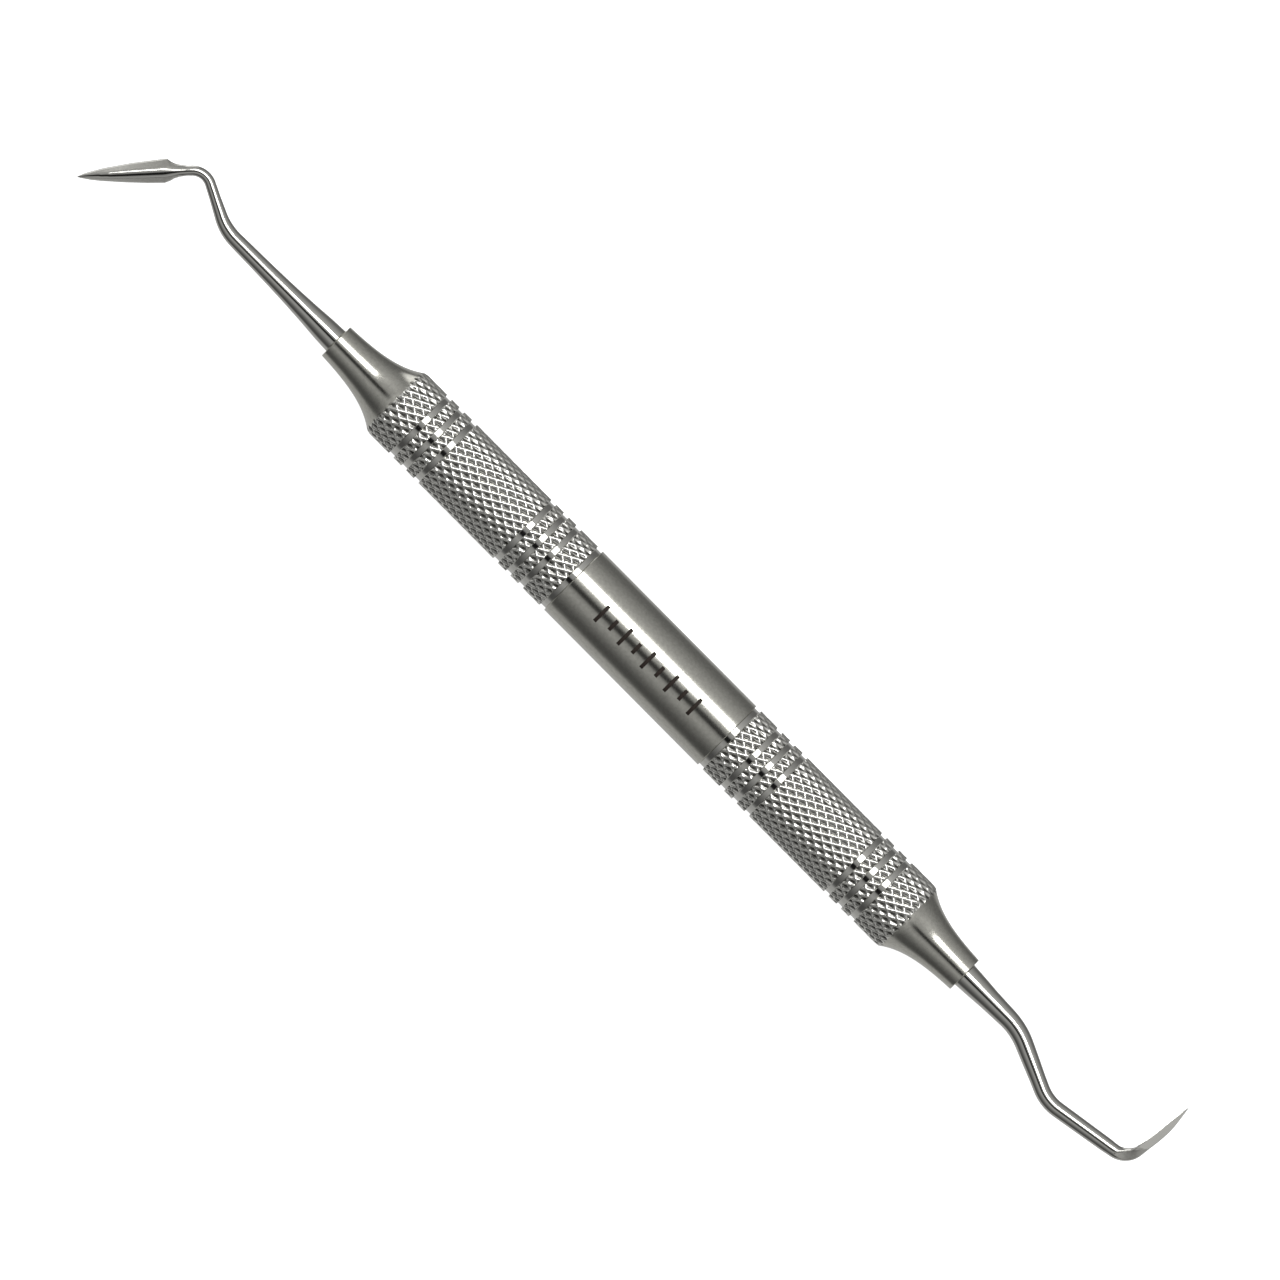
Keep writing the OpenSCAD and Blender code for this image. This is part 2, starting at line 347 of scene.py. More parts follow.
# ---------------------------------------------------------------- mesh building
def make_piece(name, points, faces, materials, face_slots, pit=None):
    """A smooth-shaded object from points in millimetres."""
    mesh = bpy.data.meshes.new(name)
    mesh.from_pydata((np.asarray(points) * MM).tolist(), [], faces)
    for material in materials:
        mesh.materials.append(material)
    mesh.polygons.foreach_set("material_index", np.asarray(face_slots, np.int32))
    mesh.polygons.foreach_set("use_smooth", np.ones(len(faces), bool))
    if pit is not None:
        attribute = mesh.attributes.new("pit", "FLOAT", "POINT")
        attribute.data.foreach_set("value", np.asarray(pit, np.float32))
    mesh.validate()
    mesh.update()
    piece = bpy.data.objects.new(name, mesh)
    bpy.context.scene.collection.objects.link(piece)
    return piece


def zip_loops(one, one_angles, two, two_angles):
    """Triangles between two loops of point numbers whose angles differ, walked round together."""
    n, m = len(one), len(two)
    triangles = []
    a = b = 0
    while a < n or b < m:
        next_a = one_angles[a + 1] if a + 1 < n else one_angles[0] + TURN if a < n else math.inf
        next_b = two_angles[b + 1] if b + 1 < m else two_angles[0] + TURN if b < m else math.inf
        side = (int(one[a % n]), int(two[b % m]))
        if next_a <= next_b:
            a += 1
            triangles.append((*side, int(one[a % n])))
        else:
            b += 1
            triangles.append((*side, int(two[b % m])))
    return triangles


class Skin:
    """A skin built loop by loop in the direction of +X. Each loop is (first index, angles)."""

    def __init__(self):
        self.points = []
        self.faces = []
        self.slots = []
        self.pit = []

    def add_points(self, x, radius, angles, pit=0.0):
        first = len(self.points)
        x = np.broadcast_to(x, angles.shape)
        radius = np.broadcast_to(radius, angles.shape)
        rows = np.column_stack((x, radius * np.sin(angles), radius * np.cos(angles)))
        self.points.extend(rows.tolist())
        self.pit.extend(np.broadcast_to(pit, angles.shape).tolist())
        return first, angles

    def add_faces(self, faces, slot):
        self.faces.extend(faces)
        self.slots.extend([slot] * len(faces))

    def ring(self, x, radius, angles=None):
        if angles is None:
            angles = np.arange(LATHE_SIDES) * TURN / LATHE_SIDES
        return self.add_points(x, radius, angles)

    def join(self, before, after, slot):
        """Closes the strip between two loops, with quads where their angles agree. Returns the second."""
        (i, angles), (j, others) = before, after
        n, m = len(angles), len(others)
        if n == m and np.allclose(angles, others):
            quads = [(i + k, j + k, j + (k + 1) % n, i + (k + 1) % n) for k in range(n)]
            self.add_faces(quads, slot)
            return after
        triangles = zip_loops(range(i, i + n), angles, range(j, j + m), others)
        self.add_faces(triangles, slot)
        return after

    def lathe(self, profile, slot, before=None):
        """Rings through the profile's (x, radius) corners, joined on from the loop before."""
        for x, radius in profile:
            after = self.ring(x, radius)
            if before is not None:
                self.join(before, after, slot)
            before = after
        return before


# ---------------------------------------------------------------- knurled grips
def nearest_line(phase, per_mm):
    """Distance in millimetres to the nearest ridge of a family with that many ridges per millimetre."""
    return np.abs(phase - np.round(phase)) / per_mm


def knurl_pit(x, angle):
    """How deep the knurl is cut at a place on the handle: 0 on a ridge and 1 on a pit's floor."""
    (turns_a, along_a), (turns_b, along_b) = KNURL_A, KNURL_B
    phase_a = along_a * x - turns_a * angle / TURN
    phase_b = along_b * x + turns_b * angle / TURN
    round_handle = TURN * HANDLE_R
    off_a = nearest_line(phase_a, math.hypot(along_a, turns_a / round_handle))
    off_b = nearest_line(phase_b, math.hypot(along_b, turns_b / round_handle))
    down_a = np.clip((off_a - RIDGE_A_TOP) / RIDGE_SIDE, 0, 1)
    down_b = np.clip((off_b - RIDGE_B_TOP) / RIDGE_SIDE, 0, 1)
    cut_a, cut_b = (0.5 - 0.5 * np.cos(math.pi * down) for down in (down_a, down_b))
    return np.minimum(cut_a, RIDGE_B_DIP + (1 - RIDGE_B_DIP) * cut_b)


def cone_radius(out):
    """Radius of the hollow-sided cone at a distance out from its shoulder."""
    return CONE_R + (HANDLE_R - CONE_R) * np.exp(-out / CONE_FLARE)


def band_radius(x, angle, side):
    """Radius of the knurled surface, which the cone cuts away past the shoulder."""
    out = np.abs(x) - SHOULDER[side]
    crest = HANDLE_R - CREST_DROP * np.clip(1 + out / CREST_ROUND, 0, 1) ** 2
    return np.minimum(crest - KNURL_DEPTH * knurl_pit(x, angle), cone_radius(np.maximum(out, 0)))


def knurled_band(skin, x_low, x_high, side):
    """Adds the knurled surface between two planes, on a grid that follows the ridges.
    Returns the loops at its two ends."""
    (turns_a, along_a), (turns_b, along_b) = KNURL_A, KNURL_B
    steps = np.array(KNURL_STEPS)
    n = len(steps)
    per_turn = turns_b * along_a + turns_a * along_b
    cells = []
    for j in range(turns_b):
        first = math.floor((per_turn * x_low - turns_a * (j + 1)) / turns_b) - 1
        last = math.ceil((per_turn * x_high - turns_a * j) / turns_b) + 1
        cells.extend((i, j) for i in range(first, last))
    cells = np.array(cells)
    sub = np.array([(p, q) for p in range(n) for q in range(n)])
    low = (cells[:, None, :] * n + sub[None, :, :]).reshape(-1, 2)
    corners = low[:, None, :] + np.array([(0, 0), (1, 0), (1, 1), (0, 1)])[None]

    def place(index):
        a = index[..., 0] // n + steps[index[..., 0] % n]
        b = index[..., 1] // n + steps[index[..., 1] % n]
        x = (turns_b * a + turns_a * b) / per_turn
        return x, TURN * (along_a * b - along_b * a) / per_turn

    x = place(corners)[0]
    tiny = 1e-6
    keep = (x.max(1) > x_low + tiny) & (x.min(1) < x_high - tiny)
    index = corners[keep].copy()
    wrapped = index[..., 1] == turns_b * n
    index[..., 0][wrapped] += turns_a * n
    index[..., 1][wrapped] = 0
    unique, inverse = np.unique(index.reshape(-1, 2), axis=0, return_inverse=True)
    x, angle = place(unique)
    x = np.clip(x, x_low, x_high)
    angle = angle % TURN
    radius = band_radius(x, angle, side)
    first, _ = skin.add_points(x, radius, angle, knurl_pit(x, angle))
    quads = inverse.reshape(-1, 4) + first
    skin.add_faces([tuple(quad) for quad in quads.tolist()], 0)

    def end_loop(x_end):
        on_end = np.flatnonzero(x == x_end)
        on_end = on_end[np.argsort(angle[on_end])]
        return on_end + first, angle[on_end], radius[on_end]

    return end_loop(x_low), end_loop(x_high)


def join_indexed(skin, indices, after, slot, forwards):
    """Quads between a band's end, whose points are in any order, and the fresh loop beside it."""
    j, n = after[0], len(indices)
    quads = []
    for k in range(n):
        following = (k + 1) % n
        quad = (int(indices[k]), j + k, j + following, int(indices[following]))
        quads.append(quad if forwards else quad[::-1])
    skin.add_faces(quads, slot)


def band_side(skin, loop, x_end, outwards):
    """The chamfer, wall and fillet from a band's end down to the groove's floor.
    outwards is 1 where the groove lies on the +X side. Returns the last loop."""
    indices, angles, radius = loop
    levels = [(0, np.minimum(radius - RIM_STEP, HANDLE_R - RIM_CHAMFER))]
    for share in FILLET_SHARES:
        rise = GROOVE_FILLET * (1 - math.sqrt(1 - (1 - share) ** 2))
        levels.append((RIM_STEP + GROOVE_FILLET * share, FLOOR_R + rise))
    levels.append((GROOVE_FILLET + FLOOR_MARGIN, FLOOR_R))
    before = None
    for out, level in levels:
        after = skin.add_points(x_end + outwards * out, level, angles)
        if before is None:
            join_indexed(skin, indices, after, 0, outwards > 0)
        elif outwards > 0:
            skin.join(before, after, 1)
        else:
            skin.join(after, before, 1)
        before = after
    return before


def bands_of(side):
    """The knurled bands between the grooves, as distances out from the handle's centre."""
    middles = [m + k * GROOVE_PITCH for m in GROOVE_GROUPS for k in (-1, 0, 1)]
    edges = [HALF_BARREL + GROOVE_W]
    for m in middles:
        edges += [m - GROOVE_W / 2, m + GROOVE_W / 2]
    edges.append(SHOULDER[side] + KNURL_RUNOUT)
    return list(zip(edges[::2], edges[1::2]))


def mirrored(profile):
    return [(-x, r) for x, r in reversed(profile)]


def grip_outline(side):
    """A grip's plain turned outline, out from the handle's centre: along the cone, round its rim,
    and back through the hollow inside to the barrel's shoulder."""
    shoulder = SHOULDER[side]
    last = CONE_FIRST[-1]
    span = HALF_HANDLE - shoulder - RIM_START - last
    outs = [*CONE_FIRST, *(last + span * k / CONE_STEPS for k in range(1, CONE_STEPS + 1))]
    cone = [(shoulder + out, cone_radius(out)) for out in outs]
    end_r = cone_radius(HALF_HANDLE - shoulder)
    rim = [(HALF_HANDLE - inset, end_r - drop) for inset, drop in CONE_RIM]
    wall = shoulder - END_WALL
    return cone + rim + [
        (HALF_HANDLE, TANG_HOLE_R + 2 * GUARD), (HALF_HANDLE, TANG_HOLE_R),
        (HALF_HANDLE - GUARD / 2, TANG_HOLE_R), (wall, TANG_HOLE_R), (wall, TANG_HOLE_R + GUARD),
        (wall, GRIP_BORE_R), (SPIGOT_END, GRIP_BORE_R), (SPIGOT_END, SOCKET_R),
        (HALF_BARREL + GUARD, SOCKET_R), (HALF_BARREL, SOCKET_R), (HALF_BARREL, FLOOR_R - GUARD),
    ]


def grip(side):
    """A whole grip: knurled bands, grooves, cone and the hollow inside."""
    skin = Skin()
    sign = 1 if side == "right" else -1
    shoulder = SHOULDER[side]
    bands = []
    for low, high in bands_of(side):
        x_low, x_high = sorted((sign * low, sign * high))
        bands.append((x_low, x_high, *knurled_band(skin, x_low, x_high, side)))
    bands.sort(key=lambda band: band[0])
    outline = grip_outline(side)
    end_step = [(HALF_BARREL, FLOOR_R), (HALF_BARREL + GUARD, FLOOR_R)]
    start = len(skin.points)
    before = skin.lathe(end_step, 1) if sign > 0 else skin.lathe(mirrored(outline), 2)
    for x_low, x_high, low_loop, high_loop in bands:
        if x_low < -shoulder:
            zip_band(skin, low_loop, before, False)
        else:
            skin.join(before, band_side(skin, low_loop, x_low, -1), 1)
        if x_high > shoulder:
            before = skin.ring(*outline[0])
            zip_band(skin, high_loop, before, True)
        else:
            before = band_side(skin, high_loop, x_high, 1)
    if sign > 0:
        before = skin.lathe(outline[1:], 2, before)
    else:
        before = skin.lathe(mirrored(end_step), 1, before)
    skin.join(before, (start, before[1]), 2)
    return make_piece(side + "_grip_knurled", skin.points, skin.faces, [KNURLED, POLISHED, SATIN],
                      skin.slots, skin.pit)


def zip_band(skin, loop, ring, forwards):
    """Triangles between a band's end and a plain ring past it."""
    indices, angles, _ = loop
    first, others = ring
    triangles = zip_loops(indices, angles, range(first, first + len(others)), others)
    skin.add_faces(triangles if forwards else [triangle[::-1] for triangle in triangles], 2)


# ---------------------------------------------------------------- smooth barrel
def barrel():
    """The smooth barrel, with its broken edges, a spigot at each end and a bore right through."""
    half, edge = HALF_BARREL, BARREL_CHAMFER
    near, far = SPIGOT_LEAD
    outer = [
        (half - 6 * GUARD, HANDLE_R), (half - 2.5 * edge, HANDLE_R), (half - edge, HANDLE_R),
        (half - 0.3 * edge, HANDLE_R - 0.3 * edge), (half, HANDLE_R - edge), (half, HANDLE_R - 2.5 * edge),
        (half, SPIGOT_R + 2 * GUARD), (half, SPIGOT_R), (half + 2 * GUARD, SPIGOT_R),
        (SPIGOT_END - 3 * GUARD, SPIGOT_R), (SPIGOT_END - GUARD, SPIGOT_R - near),
        (SPIGOT_END, SPIGOT_R - far), (SPIGOT_END, BARREL_BORE_R + GUARD), (SPIGOT_END, BARREL_BORE_R),
    ]
    skin = Skin()
    last = skin.lathe(mirrored(outer) + outer, 0)
    skin.join(last, (0, last[1]), 0)
    return make_piece("centre_barrel_satin", skin.points, skin.faces, [SATIN], skin.slots)


def tick(skin, x, tall):
    """One etched tick: a thin curved plate that stands a hair above the barrel."""
    middle = math.asin(TICK_MIDDLE_Y / HANDLE_R)
    angles = middle + tall / 2 / HANDLE_R * np.linspace(-1, 1, TICK_ROWS + 1)
    first = len(skin.points)
    for lift in (TICK_HEIGHT, -TICK_HEIGHT):
        for column in range(TICK_COLUMNS + 1):
            skin.add_points(x + TICK_W * (column / TICK_COLUMNS - 0.5), HANDLE_R + lift, angles)
    sheet = (TICK_COLUMNS + 1) * (TICK_ROWS + 1)

    def corner(column, row, under):
        return first + column * (TICK_ROWS + 1) + row + sheet * under

    faces = []
    for column in range(TICK_COLUMNS):
        for row in range(TICK_ROWS):
            top = (corner(column, row, 0), corner(column + 1, row, 0),
                   corner(column + 1, row + 1, 0), corner(column, row + 1, 0))
            faces.append(top)
            faces.append(tuple(i + sheet for i in reversed(top)))
    rim = [(column, 0) for column in range(TICK_COLUMNS)]
    rim += [(TICK_COLUMNS, row) for row in range(TICK_ROWS)]
    rim += [(column, TICK_ROWS) for column in range(TICK_COLUMNS, 0, -1)]
    rim += [(0, row) for row in range(TICK_ROWS, 0, -1)]
    for one, two in zip(rim, rim[1:] + rim[:1]):
        faces.append((corner(*one, 1), corner(*two, 1), corner(*two, 0), corner(*one, 0)))
    skin.add_faces(faces, 0)


def etched_marks():
    skin = Skin()
    for k in range(TICK_COUNT):
        place = (k - (TICK_COUNT - 1) / 2) * TICK_PITCH
        tick(skin, place, TICK_TALL if k % 2 == 0 else TICK_SHORT)
    return make_piece("etched_ticks", skin.points, skin.faces, [ETCHED], skin.slots)


# ---------------------------------------------------------------- working tips
def eased(table, where, soften):
    """The table's value at each place, its corners softened over a short length."""
    xs, ys = np.array(table, float).T
    spread = np.linspace(-1, 1, EASE_SAMPLES)
    weights = 1 - np.abs(spread) * EASE_FALL
    total = sum(w * np.interp(where + o, xs, ys) for o, w in zip(spread * soften, weights))
    return total / weights.sum()


def smooth(x):
    u = np.clip(x, 0, 1)
    return u * u * (3 - 2 * u)


def walk(route, distances):
    """Places and headings along a route of straight legs joined by round bends."""
    legs, turns, bends = route
    reach = [0] + [r * math.tan(math.radians(abs(t)) / 2) for t, r in zip(turns, bends)] + [0]
    at, angle, start = np.zeros(2), 0.0, 0.0
    places = np.zeros((len(distances), 2))
    headings = np.zeros(len(distances))
    for k, leg in enumerate(legs):
        length = leg - reach[k] - reach[k + 1]
        along = distances - start
        here = along >= 0
        ahead = np.array([math.cos(angle), math.sin(angle)])
        places[here] = at + along[here, None] * ahead
        headings[here] = angle
        at = at + length * ahead
        start += length
        if k < len(turns):
            side = math.copysign(1, turns[k])
            along = distances - start
            here = along >= 0
            centre = at + side * bends[k] * np.array([-math.sin(angle), math.cos(angle)])
            swing = angle + side * along[here] / bends[k]
            places[here] = centre + side * bends[k] * np.column_stack((np.sin(swing), -np.cos(swing)))
            headings[here] = swing
            angle += math.radians(turns[k])
            at = centre + side * bends[k] * np.array([math.sin(angle), -math.cos(angle)])
            start += math.radians(abs(turns[k])) * bends[k]
    return places, headings


def route_length(route):
    legs, turns, bends = route
    cut = sum(2 * r * math.tan(math.radians(abs(t)) / 2) for t, r in zip(turns, bends))
    return sum(legs) - cut + sum(r * math.radians(abs(t)) for t, r in zip(turns, bends))


def blade_half(half, thick, crease, slope):
    """Half of a blade's upper surface for each ring, from its edge in to its ridge: places across it
    and heights over its flat back. A narrow edge face, a flat ground bevel and a rounded ridge."""
    face = np.minimum(EDGE_FACE, 0.3 * half)[:, None]
    rim = np.minimum(BEVEL_RIM, 0.45 * thick)[:, None]
    crease, half, thick = crease[:, None], half[:, None], thick[:, None]
    on_edge = np.linspace(0, 1, EDGE_STEPS + 1)[None, :-1]
    on_bevel = np.linspace(0, 1, BEVEL_STEPS + 1)[None, :-1]
    on_ridge = np.linspace(0, 1, RIDGE_STEPS + 1)[None, :]
    low = np.minimum(CUTTING_EDGE, thick / 2) / 2
    crease_height = thick - slope * crease / 2
    ridge = crease * (1 - on_ridge)
    across = np.hstack((half - face * on_edge, half - face + (crease - half + face) * on_bevel, ridge))
    heights = np.hstack((low + (rim - low) * on_edge, rim + (crease_height - rim) * on_bevel,
                         thick - slope * ridge ** 2 / (2 * crease)))
    return across, heights


def blade_section(up, low, thick, crease, slope):
    """A blade's whole section for each ring, round from its upper edge over the ridge."""
    upper, upper_height = blade_half(up, thick, crease[0], slope)
    lower, lower_height = blade_half(low, thick, crease[1], slope)
    under = np.linspace(0, 1, TIP_SIDES // 2 + 1)[None, 1:-1]
    back = (up + low)[:, None] * under - low[:, None]
    across = np.hstack((upper[:, :-1], -lower[:, ::-1], back))
    height = np.hstack((upper_height[:, :-1], lower_height[:, ::-1], np.zeros_like(back)))
    return across, height - thick[:, None] / 2


def blade_slots(side, back):
    """Which places on each ring are matte from the wheel: all but the ridge and the edge faces."""
    sector = np.arange(TIP_SIDES)
    bevels_end = EDGE_STEPS + BEVEL_STEPS
    half_way = TIP_SIDES // 2
    polished = sector < EDGE_STEPS
    polished |= (sector >= bevels_end) & (sector < bevels_end + 2 * RIDGE_STEPS)
    polished |= (sector >= half_way - EDGE_STEPS) & (sector < half_way)
    return (back[:, None] < GROUND_TO[side]) & ~polished[None, :]


def tang_rings(sign, turned_y, turned_z, neck_r):
    """The tang's rings, from its blunt end inside the grip up to the cone's face."""
    end = HALF_HANDLE - TANG_LEN
    profile = (
        (end, 0.7), (end, TANG_R - 0.3), (end + 0.3, TANG_R), (HALF_HANDLE - 0.2, TANG_R),
        (HALF_HANDLE - 0.02, TANG_R), (HALF_HANDLE - 0.01, neck_r - 0.03),
    )
    return np.array([
        np.column_stack((np.full(TIP_SIDES, sign * out), r * turned_y, r * turned_z)) for out, r in profile
    ])


def tube_faces(count):
    """Faces of a tube of that many rings, closed at its far end onto the point after the rings and at
    its near end onto the point after that."""
    n = TIP_SIDES
    far, near = count * n, count * n + 1
    faces = [(i * n + k, (i + 1) * n + k, (i + 1) * n + (k + 1) % n, i * n + (k + 1) % n)
             for i in range(count - 1) for k in range(n)]
    faces += [((count - 1) * n + k, far, (count - 1) * n + (k + 1) % n) for k in range(n)]
    return faces + [(near, k, (k + 1) % n) for k in range(n)]


def tip(side, route, shank, upper, lower, thick):
    """A forged tip: round bent shank, neck and spear-shaped blade, with the tang inside the grip.
    The left blade lies flat with its ridge up, and the right one stands on its edge."""
    flat = side == "left"
    sign = 1 if side == "right" else -1
    total = route_length(route)
    ridged_until, round_from, neck_from = BLEND[side]
    blade_start = total - neck_from - NECK_LEN
    shank_at = np.linspace(0, blade_start, round(blade_start / SHANK_STEP))[:-1]
    blade_at = np.linspace(blade_start, total - POINT_LEN, round((total - blade_start) / BLADE_STEP))
    s = np.concatenate((shank_at, blade_at))
    places, headings = walk(route, s)
    left = np.column_stack((-np.sin(headings), np.cos(headings)))
    back = total - s
    # each ring's size: round on the shank, and the blade's outline and thickness past the neck
    d = eased(shank, s, SHANK_EASE)
    d[0] = shank[0][1]
    is_round = smooth((back - ridged_until) / (round_from - ridged_until))[:, None]
    on_shank = smooth((back - neck_from) / NECK_LEN)
    up = on_shank * d / 2 + (1 - on_shank) * eased(upper, back, WIDTH_EASE)
    low = on_shank * d / 2 + (1 - on_shank) * eased(lower, back, WIDTH_EASE)
    t = on_shank * d + (1 - on_shank) * eased(thick, back, THICK_EASE)
    # the blade's section
    ridge_half, narrowing, slope = RIDGE[side]
    crease = ridge_half * np.minimum(back / RIDGE_FROM, 1) ** narrowing
    most = np.where(back > HEEL_FROM, HEEL_SHARE, RIDGE_SHARE)
    creases = (np.minimum(crease, most * up), np.minimum(crease, most * low))
    across, rise = blade_section(up, low, t, creases, slope)
    # the round section, whose ridge keeps the shank's width through the blade's heel
    a = np.arange(TIP_SIDES) * TURN / TIP_SIDES
    cos_a, sin_a = np.cos(a), np.sin(a)
    half = np.where(cos_a[None, :] > 0, up[:, None], low[:, None])
    sideways = np.clip((np.abs(cos_a) - RIDGE_SINE) / (1 - RIDGE_SINE), 0, 1)[None, :]
    half = half * sideways + d[:, None] / 2 * (1 - sideways)
    across = is_round * half * cos_a[None, :] + (1 - is_round) * across
    rise = is_round * sin_a[None, :] * t[:, None] / 2 + (1 - is_round) * rise
    ground = blade_slots(side, back)
    if flat:
        xy = places[:, None, :] + left[:, None, :] * across[..., None]
        z = rise
        tang = tang_rings(sign, cos_a, sin_a, shank[0][1] / 2)
    else:
        xy = places[:, None, :] - left[:, None, :] * rise[..., None]
        z, cut, reached = facet_cut(xy, across, places, left, back, up, t, crease, slope)
        ground = ground & reached | cut
        tang = tang_rings(sign, -sin_a, cos_a, shank[0][1] / 2)
    rings = np.stack((sign * (HALF_HANDLE + xy[..., 0]), xy[..., 1], z), -1)
    rings = np.concatenate((tang, rings))
    end, _ = walk(route, np.array([total]))
    points = rings.reshape(-1, 3).tolist()
    points.append((sign * (HALF_HANDLE + end[0, 0]), end[0, 1], 0))
    points.append((sign * (HALF_HANDLE - TANG_LEN), 0, 0))
    faces = tube_faces(len(rings))
    if side == "right":
        faces = [face[::-1] for face in faces]
    slots = [0] * (len(tang) * TIP_SIDES) + ground[:-1].astype(int).ravel().tolist()
    slots += [1] * TIP_SIDES + [0] * TIP_SIDES
    return make_piece(side + "_tip_forged", points, faces, [POLISHED, GROUND], slots)


def facet_cut(xy, across, places, left, back, up, thick, crease, crease_slope):
    """Carries the right blade's two flat bevels on into its last bend, as a grinding wheel does, as far
    as a line across it. Returns the places across, cut back to the bevels' planes, which of them were
    cut, and which lie on the blade's side of the line."""
    start = np.argmin(np.abs(back - FACET_FROM))
    beyond = (xy - places[start]) @ -left[start]
    rim = BEVEL_RIM - thick[start] / 2
    hinge = (thick[start] - crease_slope * crease[start]) / 2
    steep = (up[start] - EDGE_FACE - crease[start]) / (hinge - rim)
    ease = smooth((back - FACET_FROM) / FACET_EASE)[:, None]
    slope = steep * (1 - ease) + FACET_SLOPE * ease
    plane = np.maximum(crease[start] + (hinge - beyond) * slope, 0)
    lean = math.radians(FACET_LEAN)
    into = (xy - np.array(FACET_END)) @ np.array([math.cos(lean), math.sin(lean)])
    share = np.clip(into / FACET_RAMP + 1, 0, 1)
    plane = plane * share + np.abs(across) * (1 - share)
    past = (back > FACET_FROM)[:, None] & (back < FACET_FROM + FACET_REACH)[:, None]
    cut = past & (np.abs(across) > plane)
    reached = into > 0
    return np.where(cut, np.sign(across) * plane, across), cut & reached, reached


# ---------------------------------------------------------------- camera, light and floor
# In metres and degrees. The camera looks straight down on the handle, which lies along a diagonal
VIEW_TURN = 45.217
VIEW_ACROSS = 0.1483
VIEW_CENTRE = (-0.00232, 0.00062)
VIEW_HEIGHT = 3.0
CLIP = (0.01, 20)
FLOOR_HALF = 6.0
# The one large softbox: lean from straight up towards +Y, distance, size along X and across, brightness
SOFTBOX_LEAN = 25.5
SOFTBOX_AWAY = 0.6
SOFTBOX_SIZE = (0.66, 0.226)
SOFTBOX_BRIGHTNESS = 5.0


def camera():
    data = bpy.data.cameras.new("camera")
    data.type = "ORTHO"
    data.ortho_scale = VIEW_ACROSS
    data.clip_start, data.clip_end = CLIP
    piece = bpy.data.objects.new("camera", data)
    piece.location = (*VIEW_CENTRE, VIEW_HEIGHT)
    piece.rotation_euler = (0, 0, math.radians(VIEW_TURN))
    bpy.context.scene.collection.objects.link(piece)
    bpy.context.scene.camera = piece


def softbox():
    """A rectangular soft light above the object, facing it."""
    data = bpy.data.lights.new("main_softbox", "AREA")
    data.shape = "RECTANGLE"
    data.size, data.size_y = SOFTBOX_SIZE
    data.energy = SOFTBOX_BRIGHTNESS * math.pi * data.size * data.size_y
    piece = bpy.data.objects.new("main_softbox", data)
    direction = Vector((0, math.tan(math.radians(SOFTBOX_LEAN)), 1)).normalized()
    piece.location = direction * SOFTBOX_AWAY
    piece.rotation_euler = direction.to_track_quat("Z", "Y").to_euler()
    bpy.context.scene.collection.objects.link(piece)


# How bright the room is round the object, by the angle from straight up towards +Y
ROOM = (
    (-180, 0.50), (-140, 0.50), (-122, 0.43), (-109, 0.42), (-100, 0.18), (-92, 0.09), (-76, 0.09),
    (-63, 0.15), (-52, 0.22), (-42, 0.31), (-31, 0.41), (-20, 0.33), (-17, 0.24), (-14, 0.01),
    (-2, 0.01), (1, 0.30), (10, 0.40), (42, 0.57), (55, 0.47), (65, 0.41), (77, 0.34), (90, 0.27),
    (101, 0.21), (113, 0.17), (134, 0.16), (150, 0.42), (180, 0.50),
)
# The room's two ends, and the shares of X from which they fade in
ROOM_ENDS = 0.40
END_FADE = (0.75, 0.97)
# Soft lamps round the room: where, half width in degrees, brightness
LAMPS = (
    ((-0.70, 0.64, -0.38), 20, 1.0),
    ((1, 0, 0.15), 24, 0.2),
    ((-1, 0, 0.15), 24, 0.2),
)


def room():
    """The studio round the object: a soft surround that changes with the angle about the X axis.
    The camera itself sees plain white past the floor's edge."""
    world = bpy.data.worlds.new("studio")
    bpy.context.scene.world = world
    world.use_nodes = True
    nodes, links = world.node_tree.nodes, world.node_tree.links
    nodes.clear()
    output = nodes.new("ShaderNodeOutputWorld")
    background = nodes.new("ShaderNodeBackground")
    links.new(background.outputs["Background"], output.inputs["Surface"])
    direction = nodes.new("ShaderNodeTexCoord").outputs["Generated"]
    split = nodes.new("ShaderNodeSeparateXYZ")
    links.new(direction, split.inputs["Vector"])
    turn = nodes.new("ShaderNodeMath")
    turn.operation = "ARCTAN2"
    links.new(split.outputs["Y"], turn.inputs[0])
    links.new(split.outputs["Z"], turn.inputs[1])
    share = nodes.new("ShaderNodeMapRange")
    share.inputs["From Min"].default_value = -math.pi
    share.inputs["From Max"].default_value = math.pi
    links.new(turn.outputs["Value"], share.inputs["Value"])
    ramp = nodes.new("ShaderNodeValToRGB")
    links.new(share.outputs["Result"], ramp.inputs["Fac"])
    stops = ramp.color_ramp.elements
    stops[0].position, stops[1].position = 0, 1
    for angle, brightness in ROOM[1:-1]:
        stops.new((angle + 180) / 360).color = (brightness,) * 3 + (1,)
    for stop, (_, brightness) in ((stops[0], ROOM[0]), (stops[-1], ROOM[-1])):
        stop.color = (brightness,) * 3 + (1,)
    ends = nodes.new("ShaderNodeMath")
    ends.operation = "ABSOLUTE"
    links.new(split.outputs["X"], ends.inputs[0])
    fade = nodes.new("ShaderNodeMapRange")
    fade.inputs["From Min"].default_value, fade.inputs["From Max"].default_value = END_FADE
    links.new(ends.outputs["Value"], fade.inputs["Value"])
    lit = mix_colour(nodes, links, fade.outputs["Result"], ramp.outputs["Color"], (ROOM_ENDS,) * 3)
    for towards, spread, gain in LAMPS:
        lit = add_lamp(nodes, links, direction, lit, towards, spread, gain)
    seen = nodes.new("ShaderNodeLightPath").outputs["Is Camera Ray"]
    links.new(mix_colour(nodes, links, seen, lit, (1.0, 1.0, 1.0)), background.inputs["Color"])


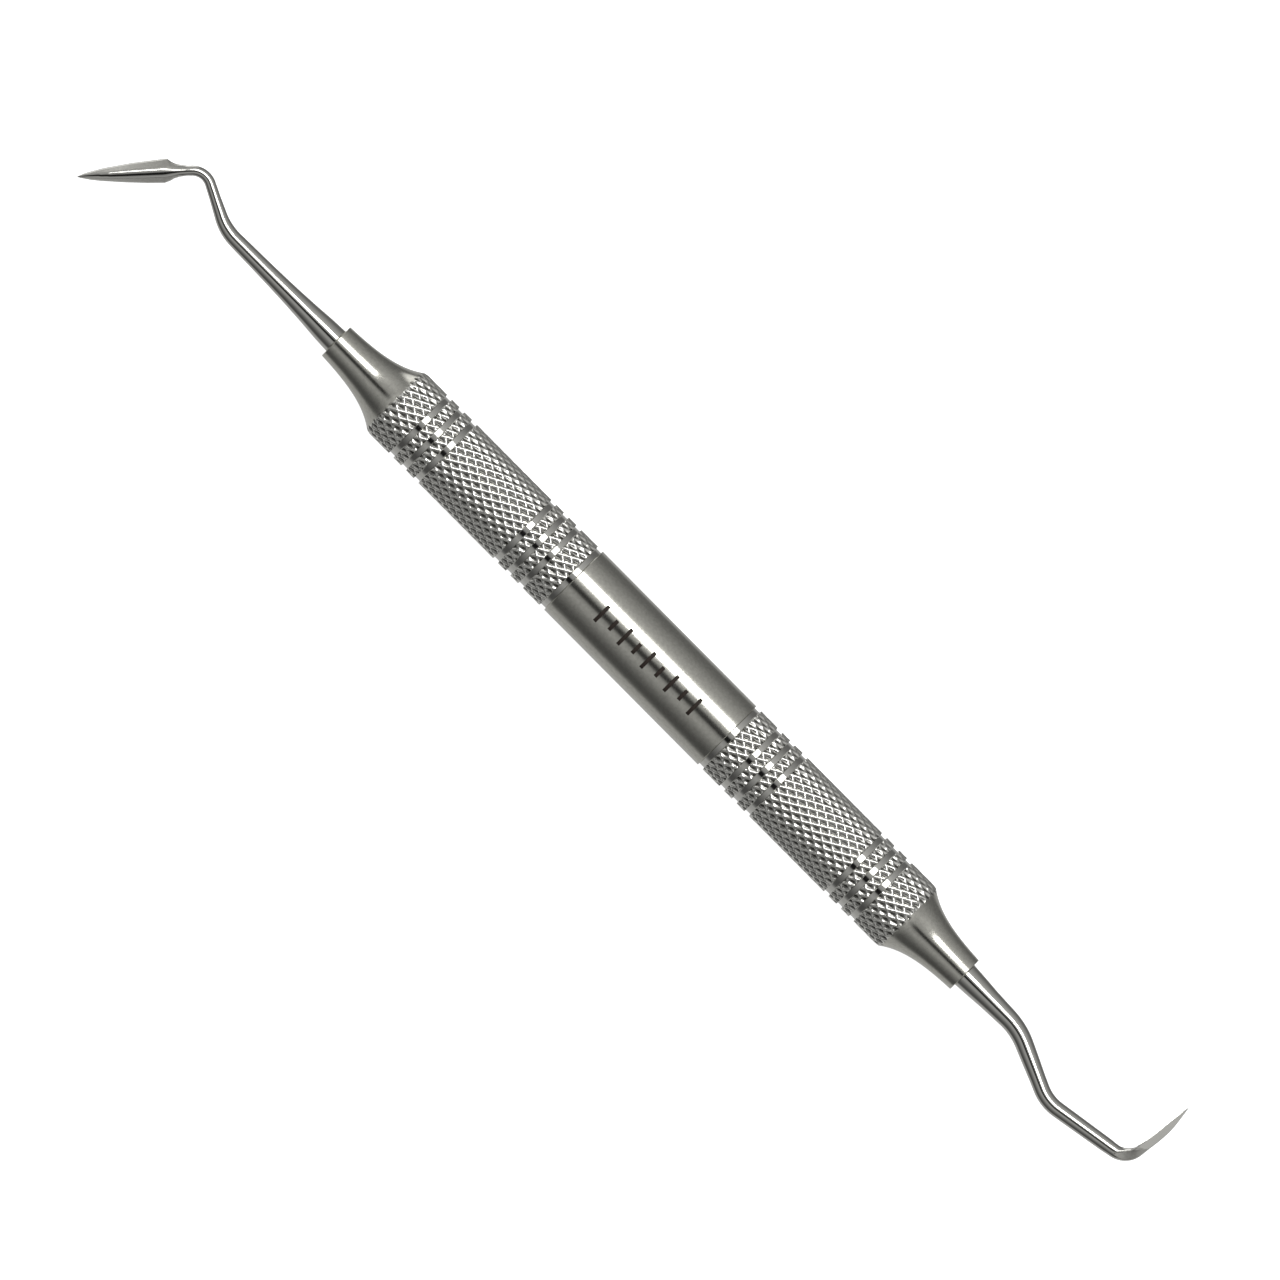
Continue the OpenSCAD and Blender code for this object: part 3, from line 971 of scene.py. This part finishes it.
def add_lamp(nodes, links, direction, lit, towards, spread, gain):
    """Adds a soft round glow to the room. spread is its half width in degrees."""
    facing = nodes.new("ShaderNodeVectorMath")
    facing.operation = "DOT_PRODUCT"
    links.new(direction, facing.inputs[0])
    facing.inputs[1].default_value = Vector(towards).normalized()
    glow = nodes.new("ShaderNodeMapRange")
    glow.interpolation_type = "SMOOTHSTEP"
    glow.inputs["From Min"].default_value = math.cos(math.radians(spread))
    glow.inputs["From Max"].default_value = math.cos(math.radians(spread * 0.6))
    glow.inputs["To Max"].default_value = gain
    links.new(facing.outputs["Value"], glow.inputs["Value"])
    total = nodes.new("ShaderNodeVectorMath")
    total.operation = "ADD"
    links.new(lit, total.inputs[0])
    links.new(glow.outputs["Result"], total.inputs[1])
    return total.outputs["Vector"]


def glowing_white(name, glow, grey):
    """Plain white that is lit a little from within, so that it stays pale all over."""
    material = bpy.data.materials.new(name)
    material.use_nodes = True
    nodes, links = material.node_tree.nodes, material.node_tree.links
    nodes.clear()
    output = nodes.new("ShaderNodeOutputMaterial")
    both = nodes.new("ShaderNodeAddShader")
    light = nodes.new("ShaderNodeEmission")
    light.inputs["Color"].default_value = (1, 1, 1, 1)
    light.inputs["Strength"].default_value = glow
    paint = nodes.new("ShaderNodeBsdfDiffuse")
    paint.inputs["Color"].default_value = (grey, grey, grey, 1)
    links.new(light.outputs["Emission"], both.inputs[0])
    links.new(paint.outputs["BSDF"], both.inputs[1])
    links.new(both.outputs["Shader"], output.inputs["Surface"])
    return material


def floor():
    """A wide pale floor under the object. Metal reflects the studio instead of it."""
    half = FLOOR_HALF
    level = cad_box[0].z
    mesh = bpy.data.meshes.new("floor")
    mesh.from_pydata(
        [(-half, -half, level), (half, -half, level), (half, half, level), (-half, half, level)],
        [], [(0, 1, 2, 3)],
    )
    mesh.materials.append(glowing_white("pale_floor", 0.97, 0.5))
    piece = bpy.data.objects.new("floor", mesh)
    bpy.context.scene.collection.objects.link(piece)
    piece.visible_glossy = False


# ---------------------------------------------------------------- the scene
def place_all():
    pieces = [
        (barrel(), "centre_barrel", "satin_steel"),
        (grip("left"), "left_grip", "knurled_steel"),
        (grip("right"), "right_grip", "knurled_steel"),
        (tip("left", LEFT_ROUTE, LEFT_SHANK, LEFT_UPPER, LEFT_LOWER, LEFT_THICK),
         "left_working_tip", "polished_steel"),
        (tip("right", RIGHT_ROUTE, RIGHT_SHANK, RIGHT_HALF, RIGHT_HALF, RIGHT_THICK),
         "right_working_tip", "polished_steel"),
    ]
    for piece, node, slot in pieces:
        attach(piece, "root")
        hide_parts(node)
    marks = etched_marks()
    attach(marks, "root")


camera()
place_all()
floor()
room()
softbox()
bpy.context.scene.view_settings.view_transform = "Standard"
